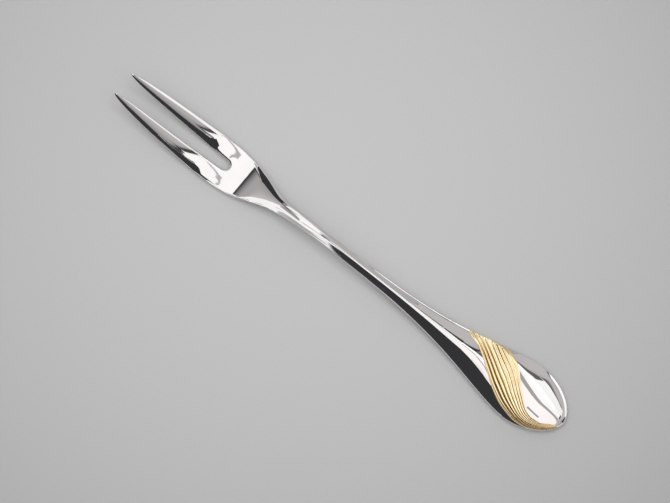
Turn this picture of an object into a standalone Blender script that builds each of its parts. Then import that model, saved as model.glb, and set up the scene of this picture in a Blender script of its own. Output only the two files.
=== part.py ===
"""Two-tined meat fork: a forged steel blank with a wave of gilded strands bedded in the handle's end.

Metres, +Z up. +X runs from the handle's end to the tine tips and +Z out of the fork's face. The origin lies
on the surface that the fork rests on, under the middle of its length. A station is a distance along the fork
from the handle's end, and a reach is a distance to the side of the fork's middle line.
"""

import math

import bmesh
import bpy

MM = 0.001

# Lengths along the fork
OVERALL_LENGTH = 210.0 * MM
TINE_LENGTH = 51.3 * MM
HEAD_LENGTH = 27.5 * MM
HEAD_LEAD = 7.3 * MM
HEAD_FLARE = 24.6 * MM
NECK_LENGTH = 22.2 * MM
HANDLE_WIDEST_STATION = 19.5 * MM
HANDLE_TAPER = 33.2 * MM
FLAT_BACK_LENGTH = 30.0 * MM
BELLY_LENGTH = 12.0 * MM

# Widths across the fork
HANDLE_WIDTH = 24.6 * MM
WAIST_WIDTH = 4.6 * MM
NECK_WIDTH = 5.6 * MM
HEAD_WIDTH = 18.8 * MM
TINE_ROOT_WIDTH = 7.2 * MM
TINE_BOW = 0.25 * MM
TIP_SPREAD = 9.9 * MM

# Thicknesses and heights
HANDLE_RIM = 1.6 * MM
HANDLE_CROWN = 2.3 * MM
WAIST_RIM = 1.9 * MM
WAIST_CROWN = 1.7 * MM
NECK_RIM = 2.4 * MM
NECK_CROWN = 1.1 * MM
HEAD_THICKNESS = 2.2 * MM
TIP_THICKNESS = 0.8 * MM
WAIST_RISE = 3.4 * MM
NECK_RISE = 3.8 * MM
TIP_RISE = 6.5 * MM

# Edges, measured across the face
RIM_ROUNDING = 0.5 * MM
RIM_BORDER = 0.65 * MM
END_BORDER = 2.4 * MM
TINE_ROUNDING = 1.3 * MM

# The wave across the handle's end and its gilded strands
WAVE_TURN = 0.8 * MM
WAVE_NEAR_END = 4.2 * MM
WAVE_FAR_END = 8.0 * MM
STRAND_COUNT = 8
STRAND_PROUD = 0.4 * MM
STRAND_DEPTH = 0.35 * MM
STRAND_GAP = 0.2 * MM
STRAND_TAPER = 1.4 * MM
BED_CLEARANCE = 0.3 * MM

# The wave's two edges: station and reach, the near edge first on the +Y side
WAVE_NEAR_EDGE = (
    (2.2 * MM, 3.0 * MM),
    (7.0 * MM, 8.3 * MM),
    (14.8 * MM, 10.2 * MM),
    (26.0 * MM, 7.7 * MM),
    (37.3 * MM, 0.9 * MM),
    (48.6 * MM, -5.2 * MM),
    (60.0 * MM, -9.0 * MM),
)
WAVE_FAR_EDGE = (
    (2.2 * MM, 2.0 * MM),
    (6.0 * MM, 4.8 * MM),
    (11.0 * MM, 6.1 * MM),
    (18.5 * MM, 2.4 * MM),
    (27.6 * MM, -5.5 * MM),
    (41.0 * MM, -15.0 * MM),
    (60.0 * MM, -26.0 * MM),
)

# How the shapes curve, without a size
END_FULLNESS = 0.57
TAPER_BELL = 1.6
FLARE_BELL = 3.2
HANDLE_CREST = 0.9
WAIST_CREST = 0.35

# Facets
END_ROWS = 18
WAVE_ROWS = 18
STEM_ROWS = 17
HEAD_ROWS = 16
SLOT_ROWS = 7
TINE_ROWS = 16
CREST_COLUMNS = 3
FACE_COLUMNS = 6
EDGE_COLUMNS = 3
STRAND_ROWS = 28
STRAND_ARC = 4
BED_ROWS = 40
BED_COLUMNS = 10
EDGE_SHARE = 0.4
BORDER_SHARE = 0.45
SOLVER_STEPS = 40

# Stations and sizes that follow from the ones above
SLOT_STATION = OVERALL_LENGTH - TINE_LENGTH
NECK_STATION = SLOT_STATION - HEAD_LENGTH
WAIST_STATION = NECK_STATION - NECK_LENGTH
BELLY_STATION = SLOT_STATION - BELLY_LENGTH
HEAD_WIDEST_STATION = SLOT_STATION + HEAD_LEAD
WELD = 0.001 * MM
SHARP_ANGLE = math.radians(35.0)
SLOPE_STEP = 0.02 * MM


def smooth_step(x):
    """0 before 0, 1 after 1, and an even S between them."""
    x = min(max(x, 0.0), 1.0)
    return x * x * x * (x * (6.0 * x - 15.0) + 10.0)


def mix(a, b, share):
    return a + (b - a) * share


def smooth_curve(*points):
    """A function through (station, value) points that swings no further than the points do."""
    stations = [point[0] for point in points]
    values = [point[1] for point in points]
    steps = [b - a for a, b in zip(stations, stations[1:])]
    slopes = [(b - a) / step for a, b, step in zip(values, values[1:], steps)]
    tangents = [slopes[0]]
    for i in range(1, len(slopes)):
        before, after = slopes[i - 1], slopes[i]
        if before * after <= 0.0:
            tangents.append(0.0)
        else:
            near, far = 2.0 * steps[i] + steps[i - 1], steps[i] + 2.0 * steps[i - 1]
            tangents.append((near + far) / (near / before + far / after))
    tangents.append(slopes[-1])

    def value(station):
        station = min(max(station, stations[0]), stations[-1])
        i = max(j for j in range(len(steps)) if stations[j] <= station)
        x = (station - stations[i]) / steps[i]
        keep = (1.0 + 2.0 * x) * (1.0 - x) ** 2
        bend = x * (1.0 - x) ** 2 * tangents[i] - x * x * (1.0 - x) * tangents[i + 1]
        return keep * values[i] + (1.0 - keep) * values[i + 1] + steps[i] * bend

    return value


def tine_edges(station):
    """Reach of a tine's inner and outer edge: a parabola about a slightly bowed middle line."""
    share = max(OVERALL_LENGTH - station, 0.0) / (OVERALL_LENGTH - HEAD_WIDEST_STATION)
    root_reach = (HEAD_WIDTH - TINE_ROOT_WIDTH) / 2
    middle = mix(TIP_SPREAD / 2, root_reach, share) + TINE_BOW * 4.0 * share * (1.0 - share)
    half = TINE_ROOT_WIDTH / 2 * math.sqrt(share)
    return middle - half, middle + half


def slot_edge(station):
    return tine_edges(station)[0]


def slot_end_radius():
    """Radius of the slot's round end, which meets both of its edges."""
    radius = slot_edge(SLOT_STATION)
    for _ in range(SOLVER_STEPS):
        radius = slot_edge(SLOT_STATION + radius)
    return radius


SLOT_RADIUS = slot_end_radius()
SLOT_CENTRE_STATION = SLOT_STATION + SLOT_RADIUS

# The fork's side view: the back's height, the rim's thickness and the crown that stands on it
back_height = smooth_curve(
    (0.0, 0.0),
    (FLAT_BACK_LENGTH, 0.0),
    (WAIST_STATION, WAIST_RISE),
    (NECK_STATION, NECK_RISE),
    (BELLY_STATION, 0.0),
    (SLOT_CENTRE_STATION, 0.0),
    (OVERALL_LENGTH, TIP_RISE),
)
rim_thickness = smooth_curve(
    (0.0, HANDLE_RIM),
    (HANDLE_WIDEST_STATION, HANDLE_RIM),
    (WAIST_STATION, WAIST_RIM),
    (NECK_STATION, NECK_RIM),
    (BELLY_STATION, HEAD_THICKNESS),
    (SLOT_CENTRE_STATION, HEAD_THICKNESS),
    (OVERALL_LENGTH, TIP_THICKNESS),
)
crown_height = smooth_curve(
    (HANDLE_WIDEST_STATION, HANDLE_CROWN),
    (WAIST_STATION, WAIST_CROWN),
    (NECK_STATION, NECK_CROWN),
    (BELLY_STATION, 0.0),
    (OVERALL_LENGTH, 0.0),
)
crest_roundness = smooth_curve((HANDLE_WIDEST_STATION, HANDLE_CREST), (WAIST_STATION, WAIST_CREST))
edge_rounding = smooth_curve((NECK_STATION, RIM_ROUNDING), (BELLY_STATION, TINE_ROUNDING))
near_line = smooth_curve(*WAVE_NEAR_EDGE)
far_edge = smooth_curve(*WAVE_FAR_EDGE)


def slope(curve, station):
    """Rise of a curve for each unit along the fork, kept inside the fork's length."""
    before = max(station - SLOPE_STEP, 0.0)
    after = min(station + SLOPE_STEP, OVERALL_LENGTH)
    return (curve(after) - curve(before)) / (after - before)


def outline(station):
    """Reach of the fork's outer edge."""
    if station >= HEAD_WIDEST_STATION:
        return tine_edges(station)[1]
    if station < HANDLE_WIDEST_STATION:
        ahead = 1.0 - max(station, 0.0) / HANDLE_WIDEST_STATION
        return HANDLE_WIDTH / 2 * (1.0 - ahead**2) ** END_FULLNESS
    along_neck = (station - WAIST_STATION) / (NECK_STATION - WAIST_STATION)
    stem = mix(WAIST_WIDTH, NECK_WIDTH, smooth_step(along_neck)) / 2
    handle = math.exp(-(((station - HANDLE_WIDEST_STATION) / HANDLE_TAPER) ** TAPER_BELL))
    head = math.exp(-(((HEAD_WIDEST_STATION - station) / HEAD_FLARE) ** FLARE_BELL))
    return stem + (HANDLE_WIDTH / 2 - stem) * handle + (HEAD_WIDTH / 2 - stem) * head


def edge_distance(station, reach):
    """Distance in plan from a point to the fork's outer edge."""
    return max(outline(station) - abs(reach), 0.0) / math.hypot(1.0, slope(outline, station))


def slot_distance(station, reach):
    """Distance in plan from a point to the slot between the tines."""
    if station < SLOT_CENTRE_STATION:
        return max(math.hypot(station - SLOT_CENTRE_STATION, reach) - SLOT_RADIUS, 0.0)
    return max(abs(reach) - slot_edge(station), 0.0) / math.hypot(1.0, slope(slot_edge, station))


def rim_line(station, border=RIM_BORDER):
    """Reach of the line that runs inside the outline, a border's width away from it."""
    return outline(station) - border * math.hypot(1.0, slope(outline, station))


def near_edge(station):
    """Reach of the wave's near edge, which turns to follow the rim towards the handle's end."""
    free, held = near_line(station), rim_line(station)
    return (free + held - math.hypot(free - held, WAVE_TURN)) / 2


def rounded(distance, radius):
    """Share of the full thickness at a distance from an edge with a round of that radius."""
    inside = 1.0 - min(distance / radius, 1.0)
    return math.sqrt(1.0 - inside * inside)


def thickness_share(station, reach):
    radius = edge_rounding(station)
    return rounded(edge_distance(station, reach), radius) * rounded(slot_distance(station, reach), radius)


def crown(station, reach):
    """Height of the handle's crown over its rim: a rounded roof inside a plain border, blunt at the end."""
    inner_reach = outline(station) - RIM_BORDER
    if inner_reach <= 0.0 or station <= END_BORDER:
        return 0.0
    across = min(abs(reach) / inner_reach, 1.0)
    round_share = crest_roundness(station)
    fall = math.hypot(across, round_share) - round_share
    roof = 1.0 - fall / (math.hypot(1.0, round_share) - round_share)
    ahead = 1.0 - min((station - END_BORDER) / (HANDLE_WIDEST_STATION - END_BORDER), 1.0)
    return crown_height(station) * roof * math.sqrt(1.0 - ahead**4)


def face_height(station, reach):
    """Height of the fork's face, with its crown."""
    rim = rim_thickness(station)
    raised = rim / 2 + crown(station, reach)
    return back_height(station) + rim / 2 + raised * thickness_share(station, reach)


def back_surface(station, reach):
    rim = rim_thickness(station)
    return back_height(station) + rim / 2 - rim / 2 * thickness_share(station, reach)


def fork_rows():
    """Rows across one half of the fork, each from the middle line or the slot out to the outline."""
    rows = []
    for i in range(END_ROWS):
        station = HANDLE_WIDEST_STATION * (1.0 - math.cos(math.pi / 2 * i / END_ROWS))
        rows.append((station, 0.0, station))
    wave_start = WAVE_NEAR_EDGE[-1][0]
    for i in range(WAVE_ROWS):
        station = mix(HANDLE_WIDEST_STATION, wave_start, i / WAVE_ROWS)
        rows.append((station, 0.0, station))
    for i in range(STEM_ROWS):
        station = mix(wave_start, NECK_STATION, i / STEM_ROWS)
        rows.append((station, 0.0, station))
    splay = HEAD_WIDTH / 2
    root_splay = 2.0 * SLOT_RADIUS
    for i in range(HEAD_ROWS):
        share = 1.0 - (1.0 - i / HEAD_ROWS) ** 2
        rows.append((mix(NECK_STATION, SLOT_STATION, share), 0.0, mix(NECK_STATION, SLOT_STATION - splay, share)))
    for i in range(SLOT_ROWS):
        turn = math.pi / 2 * i / SLOT_ROWS
        station = SLOT_CENTRE_STATION - SLOT_RADIUS * math.cos(turn)
        outer = mix(SLOT_STATION - splay, SLOT_CENTRE_STATION - root_splay, i / SLOT_ROWS)
        rows.append((station, SLOT_RADIUS * math.sin(turn), outer))
    for i in range(TINE_ROWS + 1):
        left = (1.0 - i / TINE_ROWS) ** 2
        taper = OVERALL_LENGTH - SLOT_CENTRE_STATION
        station = OVERALL_LENGTH - taper * left
        outer = OVERALL_LENGTH - (taper + root_splay) * left
        rows.append((station, slot_edge(station), outer))
    return rows


def column_shares(width, radius):
    """Places across a row, from 0 at its inner end to 1 at the outline, closer together at both ends."""
    if width == 0.0:
        return [0.0] * (CREST_COLUMNS + FACE_COLUMNS + EDGE_COLUMNS + 2)
    edge = min(radius / width, EDGE_SHARE)
    border = max(edge * BORDER_SHARE / EDGE_SHARE, min(RIM_BORDER / width, BORDER_SHARE))
    inner = [edge * (1.0 - math.cos(math.pi / 2 * i / CREST_COLUMNS)) for i in range(CREST_COLUMNS)]
    face = [mix(edge, 1.0 - border, i / FACE_COLUMNS) for i in range(FACE_COLUMNS + 1)]
    outer = [1.0 - edge * (1.0 - math.sin(math.pi / 2 * i / EDGE_COLUMNS)) for i in range(EDGE_COLUMNS + 1)]
    return inner + face + outer


def half_sheet(surface, side):
    """Points of one half of the fork's face or back, row by row, lifted onto a surface."""
    sheet = []
    for station, reach, outer_station in fork_rows():
        outer_reach = outline(outer_station)
        width = math.hypot(outer_station - station, outer_reach - reach)
        points = []
        for share in column_shares(width, edge_rounding(station)):
            along = mix(station, outer_station, share)
            across = side * mix(reach, outer_reach, share)
            points.append(fork_point(along, across, surface(along, across)))
        sheet.append(points)
    return sheet


def fork_point(station, reach, height):
    return (station - OVERALL_LENGTH / 2, reach, height)


def lay_grid(mesh, sheet):
    """Add a grid of faces to a mesh and move its points onto a sheet of points."""
    rows, columns = len(sheet) - 1, len(sheet[0]) - 1
    grid = bmesh.ops.create_grid(mesh, x_segments=rows, y_segments=columns, size=0.5)
    for vertex in grid["verts"]:
        row, column = round((vertex.co.x + 0.5) * rows), round((vertex.co.y + 0.5) * columns)
        vertex.co = sheet[row][column]
    return grid["verts"]


def finish_object(name, mesh, material):
    """Weld a mesh into one closed skin, face it outwards and make it an object."""
    bmesh.ops.remove_doubles(mesh, verts=mesh.verts, dist=WELD)
    bmesh.ops.recalc_face_normals(mesh, faces=mesh.faces)
    data = bpy.data.meshes.new(name)
    mesh.to_mesh(data)
    mesh.free()
    data.materials.append(material)
    data.shade_smooth()
    data.set_sharp_from_angle(angle=SHARP_ANGLE)
    part = bpy.data.objects.new(name, data)
    bpy.context.scene.collection.objects.link(part)
    return part


def polished_metal(name, colour, roughness):
    material = bpy.data.materials.new(name)
    material.use_nodes = True
    shader = material.node_tree.nodes["Principled BSDF"]
    shader.inputs["Base Color"].default_value = (*colour, 1.0)
    shader.inputs["Metallic"].default_value = 1.0
    shader.inputs["Roughness"].default_value = roughness
    return material


def fork_blank(material):
    """Tines, head, neck and handle in one skin: face and back, each laid in two halves that share an edge."""
    mesh = bmesh.new()
    for surface in (face_height, back_surface):
        for side in (1.0, -1.0):
            lay_grid(mesh, half_sheet(surface, side))
    return finish_object("fork_blank", mesh, material)


def strand_reach(station, share):
    return mix(far_edge(station), near_edge(station), share)


def strand_end(share):
    """Station at which a strand ends beside the handle's end, set back further towards the far edge."""
    return mix(WAVE_FAR_END, WAVE_NEAR_END, share)


def strand_section():
    """Closed section of a strand, from -1 to 1 both ways: a square foot under a half round top."""
    foot = [(-1.0, -1.0), (1.0, -1.0)]
    turns = [math.pi * i / STRAND_ARC for i in range(STRAND_ARC + 1)]
    return foot + [(math.cos(turn), math.sin(turn)) for turn in turns] + foot[:1]


def rim_crossing(line, border):
    """Station at which a line that runs out over the far rim crosses its border."""
    inside, outside = HANDLE_WIDEST_STATION, WAVE_NEAR_EDGE[-1][0]
    for _ in range(SOLVER_STEPS):
        middle = (inside + outside) / 2
        if line(middle) > -rim_line(middle, border):
            inside = middle
        else:
            outside = middle
    return inside


def gold_strand(number, material):
    """One gilded strand: a reed with a round top that runs along the wave and tapers to both ends."""
    share = (number - 0.5) / STRAND_COUNT

    def path(station):
        return strand_reach(station, share)

    start, end = rim_crossing(path, RIM_BORDER), strand_end(share)
    section = strand_section()
    sheet = []
    for i in range(STRAND_ROWS + 1):
        station = mix(start, end, (1.0 - math.cos(math.pi * i / STRAND_ROWS)) / 2)
        climb = slope(path, station)
        stretch = math.hypot(1.0, climb)
        pitch = (near_edge(station) - far_edge(station)) / STRAND_COUNT / stretch
        left = min(start - station, station - end) * stretch
        taper = math.sqrt(min(max(left, 0.0) / STRAND_TAPER, 1.0))
        half = max(pitch - STRAND_GAP, pitch / 2) / 2 * taper
        points = []
        for across, level in section:
            along = station - across * half * climb / stretch
            reach = path(station) + across * half / stretch
            lift = level * taper * (STRAND_PROUD if level > 0 else STRAND_DEPTH)
            points.append(fork_point(along, reach, face_height(along, reach) + lift))
        sheet.append(points)
    mesh = bmesh.new()
    lay_grid(mesh, sheet)
    return finish_object("gold_strand_%d" % number, mesh, material)


def strand_bed():
    """Cutter for the shallow bed that the strands lie in, open to the fork's face."""
    border = RIM_BORDER - BED_CLEARANCE

    def near_side(station):
        spread = BED_CLEARANCE * math.hypot(1.0, slope(near_edge, station))
        return min(near_edge(station) + spread, rim_line(station, border))

    def far_side(station):
        spread = BED_CLEARANCE * math.hypot(1.0, slope(far_edge, station))
        return max(far_edge(station) - spread, -rim_line(station, border))

    start = rim_crossing(near_side, RIM_BORDER)
    floor = STRAND_DEPTH + BED_CLEARANCE
    sheet = []
    for i in range(BED_ROWS + 1):
        points = []
        for j in range(BED_COLUMNS + 1):
            share = j / BED_COLUMNS
            station = mix(strand_end(share) - BED_CLEARANCE, start, i / BED_ROWS)
            reach = mix(far_side(station), near_side(station), share)
            points.append(fork_point(station, reach, face_height(station, reach) - floor))
        sheet.append(points)
    mesh = bmesh.new()
    lay_grid(mesh, sheet)
    top = bmesh.ops.extrude_face_region(mesh, geom=mesh.faces[:])
    lifted = [item for item in top["geom"] if isinstance(item, bmesh.types.BMVert)]
    bmesh.ops.translate(mesh, verts=lifted, vec=(0.0, 0.0, floor + HANDLE_CROWN))
    cutter = finish_object("strand_bed_cutter", mesh, bpy.data.materials.new("cutter"))
    cutter.hide_render = True
    cutter.display_type = "WIRE"
    return cutter


def cut_bed(blank):
    """Cut the strands' bed out of the blank, mark the edges of the cut as sharp and put the cutter away."""
    cutter = strand_bed()
    cut = blank.modifiers.new("strand_bed", "BOOLEAN")
    cut.object = cutter
    cut.operation = "DIFFERENCE"
    cut.solver = "EXACT"
    graph = bpy.context.evaluated_depsgraph_get()
    blank.data = bpy.data.meshes.new_from_object(blank.evaluated_get(graph))
    blank.data.set_sharp_from_angle(angle=SHARP_ANGLE)
    blank.modifiers.remove(cut)
    bpy.data.objects.remove(cutter)


def build():
    for leftover in list(bpy.data.objects):
        bpy.data.objects.remove(leftover)
    steel = polished_metal("polished_steel", (0.78, 0.78, 0.79), 0.08)
    gold = polished_metal("gilding", (0.94, 0.72, 0.34), 0.16)
    blank = fork_blank(steel)
    cut_bed(blank)
    for number in range(1, STRAND_COUNT + 1):
        gold_strand(number, gold).parent = blank


build()
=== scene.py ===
# %% [markdown]
# # A meat fork in polished steel and gold
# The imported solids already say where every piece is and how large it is. This lesson lays a finer skin over
# them: a mirror-polished steel fork, whose reflections need a very smooth surface, and eight gilded reeds
# that cross the end of its handle. Everything stays in metres and in the frame of the solids.

# %% Load the frame
import math

import bmesh
import bpy
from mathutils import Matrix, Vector


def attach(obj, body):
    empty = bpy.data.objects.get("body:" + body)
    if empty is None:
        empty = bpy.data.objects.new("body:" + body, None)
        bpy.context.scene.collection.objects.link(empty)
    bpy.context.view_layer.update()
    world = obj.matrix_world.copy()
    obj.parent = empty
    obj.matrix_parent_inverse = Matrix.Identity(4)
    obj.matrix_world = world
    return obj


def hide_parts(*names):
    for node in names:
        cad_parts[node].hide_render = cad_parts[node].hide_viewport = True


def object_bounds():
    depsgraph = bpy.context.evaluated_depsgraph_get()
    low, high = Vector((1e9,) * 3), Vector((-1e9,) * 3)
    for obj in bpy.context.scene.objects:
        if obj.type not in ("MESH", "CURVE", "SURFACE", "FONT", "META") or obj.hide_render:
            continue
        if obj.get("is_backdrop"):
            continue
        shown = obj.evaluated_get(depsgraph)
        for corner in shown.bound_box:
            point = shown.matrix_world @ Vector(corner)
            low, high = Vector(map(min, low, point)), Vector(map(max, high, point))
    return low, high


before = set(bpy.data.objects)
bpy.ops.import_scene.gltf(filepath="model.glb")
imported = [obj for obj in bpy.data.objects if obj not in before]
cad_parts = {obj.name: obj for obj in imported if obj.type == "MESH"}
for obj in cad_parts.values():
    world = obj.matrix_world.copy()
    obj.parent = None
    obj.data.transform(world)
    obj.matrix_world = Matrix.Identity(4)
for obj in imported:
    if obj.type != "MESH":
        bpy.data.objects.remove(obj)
cad_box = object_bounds()
MM = 0.001
LENGTH = cad_box[1].x - cad_box[0].x
HANDLE_WIDTH = cad_box[1].y - cad_box[0].y
print("fork: %.1f mm long, handle %.1f mm wide" % (LENGTH / MM, HANDLE_WIDTH / MM))

# %% [markdown]
# ## Curves that describe a forging
# A forged fork has no straight line and no sudden corner. Its lines could be drawn by hand as Bezier curves,
# but written as functions along the fork the same lines can also bend the surface, so that outline, face and
# reeds always agree. Two small helpers are enough: an S-shaped step, and a smooth curve through a handful of
# points that never swings past them. A station is a distance from the handle's end, a reach is a distance
# sideways, and the near side is the one with a positive reach.

# %% Curve helpers
def smooth_step(x):
    x = min(max(x, 0.0), 1.0)
    return x * x * x * (x * (6.0 * x - 15.0) + 10.0)


def mix(a, b, share):
    return a + (b - a) * share


def smooth_curve(*points):
    """A function through (station, value) points that swings no further than the points do."""
    stations = [point[0] for point in points]
    values = [point[1] for point in points]
    steps = [b - a for a, b in zip(stations, stations[1:])]
    slopes = [(b - a) / step for a, b, step in zip(values, values[1:], steps)]
    tangents = [slopes[0]]
    for i in range(1, len(slopes)):
        before, after = slopes[i - 1], slopes[i]
        if before * after <= 0.0:
            tangents.append(0.0)
        else:
            near, far = 2.0 * steps[i] + steps[i - 1], steps[i] + 2.0 * steps[i - 1]
            tangents.append((near + far) / (near / before + far / after))
    tangents.append(slopes[-1])

    def value(station):
        station = min(max(station, stations[0]), stations[-1])
        i = max(j for j in range(len(steps)) if stations[j] <= station)
        x = (station - stations[i]) / steps[i]
        keep = (1.0 + 2.0 * x) * (1.0 - x) ** 2
        bend = x * (1.0 - x) ** 2 * tangents[i] - x * x * (1.0 - x) * tangents[i + 1]
        return keep * values[i] + (1.0 - keep) * values[i + 1] + steps[i] * bend

    return value


def curve_in_mm(*points):
    """A smooth curve whose stations and values are both written in millimetres."""
    return smooth_curve(*[(station * MM, value * MM) for station, value in points])


def share_curve(*points):
    """A smooth curve of plain shares, its stations written in millimetres."""
    return smooth_curve(*[(station * MM, share) for station, share in points])


SLOPE_STEP = 0.02 * MM


def slope(curve, station):
    before = max(station - SLOPE_STEP, 0.0)
    after = min(station + SLOPE_STEP, LENGTH)
    return (curve(after) - curve(before)) / (after - before)


# %% [markdown]
# ## The plan: handle, waist, head and tines
# Seen from above the fork is an egg that runs out into a slim stem, widens to the head and splits into two
# tines; in the workshop a press cuts this outline from a rolled strip. Bell curves give the stem its long
# tapers, and each tine is a parabola that ends in a point. The same sizes shape the solids, so the skin
# keeps their outline.

# %% Plan view
TINE_LENGTH = 51.3 * MM
HEAD_LENGTH = 27.5 * MM
HEAD_LEAD = 7.3 * MM
HEAD_FLARE = 24.6 * MM
NECK_LENGTH = 22.2 * MM
HANDLE_WIDEST_STATION = 19.5 * MM
HANDLE_TAPER = 33.2 * MM
WAIST_WIDTH = 4.6 * MM
NECK_WIDTH = 5.6 * MM
HEAD_WIDTH = 18.8 * MM
TINE_ROOT_WIDTH = 7.2 * MM
TINE_BOW = 0.25 * MM
TIP_SPREAD = 9.9 * MM
END_FULLNESS = 0.57
TAPER_BELL = 1.6
FLARE_BELL = 3.2
SLOT_FITTINGS = 20
SLOT_STATION = LENGTH - TINE_LENGTH
NECK_STATION = SLOT_STATION - HEAD_LENGTH
WAIST_STATION = NECK_STATION - NECK_LENGTH
HEAD_WIDEST_STATION = SLOT_STATION + HEAD_LEAD


def tine_half_width(station):
    share = max(LENGTH - station, 0.0) / (LENGTH - HEAD_WIDEST_STATION)
    return TINE_ROOT_WIDTH / 2 * math.sqrt(share)


def tine_edges(station):
    """Reach of a tine's inner and outer edge: a parabola about a slightly bowed middle line."""
    share = max(LENGTH - station, 0.0) / (LENGTH - HEAD_WIDEST_STATION)
    root_reach = (HEAD_WIDTH - TINE_ROOT_WIDTH) / 2
    middle = mix(TIP_SPREAD / 2, root_reach, share) + TINE_BOW * 4.0 * share * (1.0 - share)
    half = tine_half_width(station)
    return middle - half, middle + half


def slot_edge(station):
    return tine_edges(station)[0]


SLOT_RADIUS = slot_edge(SLOT_STATION)
for _ in range(SLOT_FITTINGS):
    SLOT_RADIUS = slot_edge(SLOT_STATION + SLOT_RADIUS)
SLOT_CENTRE_STATION = SLOT_STATION + SLOT_RADIUS


def outline(station):
    """Reach of the fork's outer edge."""
    if station >= HEAD_WIDEST_STATION:
        return tine_edges(station)[1]
    if station < HANDLE_WIDEST_STATION:
        ahead = 1.0 - max(station, 0.0) / HANDLE_WIDEST_STATION
        return HANDLE_WIDTH / 2 * (1.0 - ahead**2) ** END_FULLNESS
    along_neck = (station - WAIST_STATION) / (NECK_STATION - WAIST_STATION)
    stem = mix(WAIST_WIDTH, NECK_WIDTH, smooth_step(along_neck)) / 2
    handle = math.exp(-(((station - HANDLE_WIDEST_STATION) / HANDLE_TAPER) ** TAPER_BELL))
    head = math.exp(-(((HEAD_WIDEST_STATION - station) / HEAD_FLARE) ** FLARE_BELL))
    return stem + (HANDLE_WIDTH / 2 - stem) * handle + (HEAD_WIDTH / 2 - stem) * head


def edge_distance(station, reach):
    return max(outline(station) - abs(reach), 0.0) / math.hypot(1.0, slope(outline, station))


def slot_distance(station, reach):
    if station < SLOT_CENTRE_STATION:
        return max(math.hypot(station - SLOT_CENTRE_STATION, reach) - SLOT_RADIUS, 0.0)
    return max(abs(reach) - slot_edge(station), 0.0) / math.hypot(1.0, slope(slot_edge, station))


print("slot: %.1f mm wide at its round end" % (2.0 * SLOT_RADIUS / MM))

# %% [markdown]
# ## The gilded wave's edges
# A band of reeds crosses the handle's end. Its near edge swings out to the rim and follows it to the end,
# its far edge cuts across the egg. The steel is shaped differently on the two sides of the band, so the two
# edges come before the surface.

# %% Wave edges
WAVE_BORDER = 0.25 * MM
WAVE_TURN = 0.3 * MM
WAVE_START_STATION = 60.0 * MM
near_line = curve_in_mm(
    (2.2, 6.0), (7.0, 9.6), (14.8, 11.0), (21.6, 9.75), (27.7, 6.95), (34.0, 2.6), (40.3, -1.9),
    (43.5, -3.85), (47.0, -5.0), (50.0, -6.5), (60.0, -12.0),
)
far_edge = curve_in_mm(
    (1.6, 2.4), (4.3, 4.1), (7.5, 5.8), (10.5, 6.0), (13.5, 5.1), (19.1, 0.6), (27.2, -7.1),
    (33.0, -10.0), (45.0, -15.5), (60.0, -22.0),
)


def rim_line(station, border):
    """Reach of the line that runs inside the outline, a border's width away from it."""
    return outline(station) - border * math.hypot(1.0, slope(outline, station))


def near_edge(station):
    """Reach of the wave's near edge, which turns to follow the rim towards the handle's end."""
    free, held = near_line(station), rim_line(station, WAVE_BORDER)
    return (free + held - math.hypot(free - held, WAVE_TURN)) / 2


wave_width = near_edge(HANDLE_WIDEST_STATION) - far_edge(HANDLE_WIDEST_STATION)
print("wave: %.1f mm wide where the handle is widest" % (wave_width / MM))

# %% [markdown]
# ## The side view
# Lying on a table the fork touches it under the handle and under the head. Polished metal shows every change
# of slope, so the middle line of the face is written as its steepness in degrees and added up: it climbs
# along the handle, turns over at the shoulder, runs straight down the neck, and from a tight bend the head
# and the tines curl gently up again. Thicknesses and stations are written in millimetres here, and the curve
# helpers turn them into metres.

# %% Side view
HANDLE_RIM = 1.6
HANDLE_CROWN = 2.3
WAIST_RIM = 1.9
WAIST_CROWN = 1.7
NECK_RIM = 2.4
NECK_CROWN = 1.1
HEAD_THICKNESS = 1.73
TIP_THICKNESS = 0.6
SHOULDER = 113.0
CROWN_END = 146.0
BEND = 153.8
PROFILE_STEP = 0.5 * MM
handle_widest, waist, neck = HANDLE_WIDEST_STATION / MM, WAIST_STATION / MM, NECK_STATION / MM
slot_centre, tip = SLOT_CENTRE_STATION / MM, LENGTH / MM


def profile_from_steepness(start_height, *knots):
    """Height along the fork, added up from (station in mm, degrees) knots in short curved steps."""
    steepness = share_curve(*[(station, math.tan(math.radians(angle))) for station, angle in knots])
    count = math.ceil(LENGTH / PROFILE_STEP)
    slopes = [steepness(i * PROFILE_STEP) for i in range(count + 1)]
    heights = [start_height]
    for before, after in zip(slopes, slopes[1:]):
        heights.append(heights[-1] + PROFILE_STEP * (before + after) / 2)

    def value(station):
        i = min(int(station / PROFILE_STEP), count - 1)
        x = station - i * PROFILE_STEP
        return heights[i] + slopes[i] * x + (slopes[i + 1] - slopes[i]) * x * x / (2 * PROFILE_STEP)

    return value


spine_height = profile_from_steepness(
    (HANDLE_RIM + HANDLE_CROWN) * MM,
    (0.0, 0.0), (26.0, 0.0), (45.0, 1.6), (70.0, 2.95), (98.0, 3.3), (106.0, 2.8), (SHOULDER, 0.0),
    (121.0, -4.5), (131.0, -9.0), (138.0, -11.1), (CROWN_END, -11.2), (149.0, -10.5), (151.4, -9.2),
    (152.6, -6.2), (BEND, -1.5), (155.8, 1.4), (160.8, 2.4), (175.0, 4.3), (tip, 8.6),
)
rim_thickness = curve_in_mm(
    (0.0, HANDLE_RIM), (handle_widest, HANDLE_RIM), (waist, WAIST_RIM), (neck, NECK_RIM),
    (BEND, HEAD_THICKNESS), (slot_centre, HEAD_THICKNESS), (tip, TIP_THICKNESS),
)
crown_height = curve_in_mm(
    (handle_widest, HANDLE_CROWN), (waist, WAIST_CROWN), (neck, NECK_CROWN), (CROWN_END, 0.0), (tip, 0.0)
)


def back_height(station):
    return max(spine_height(station) - crown_height(station) - rim_thickness(station), 0.0)


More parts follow.
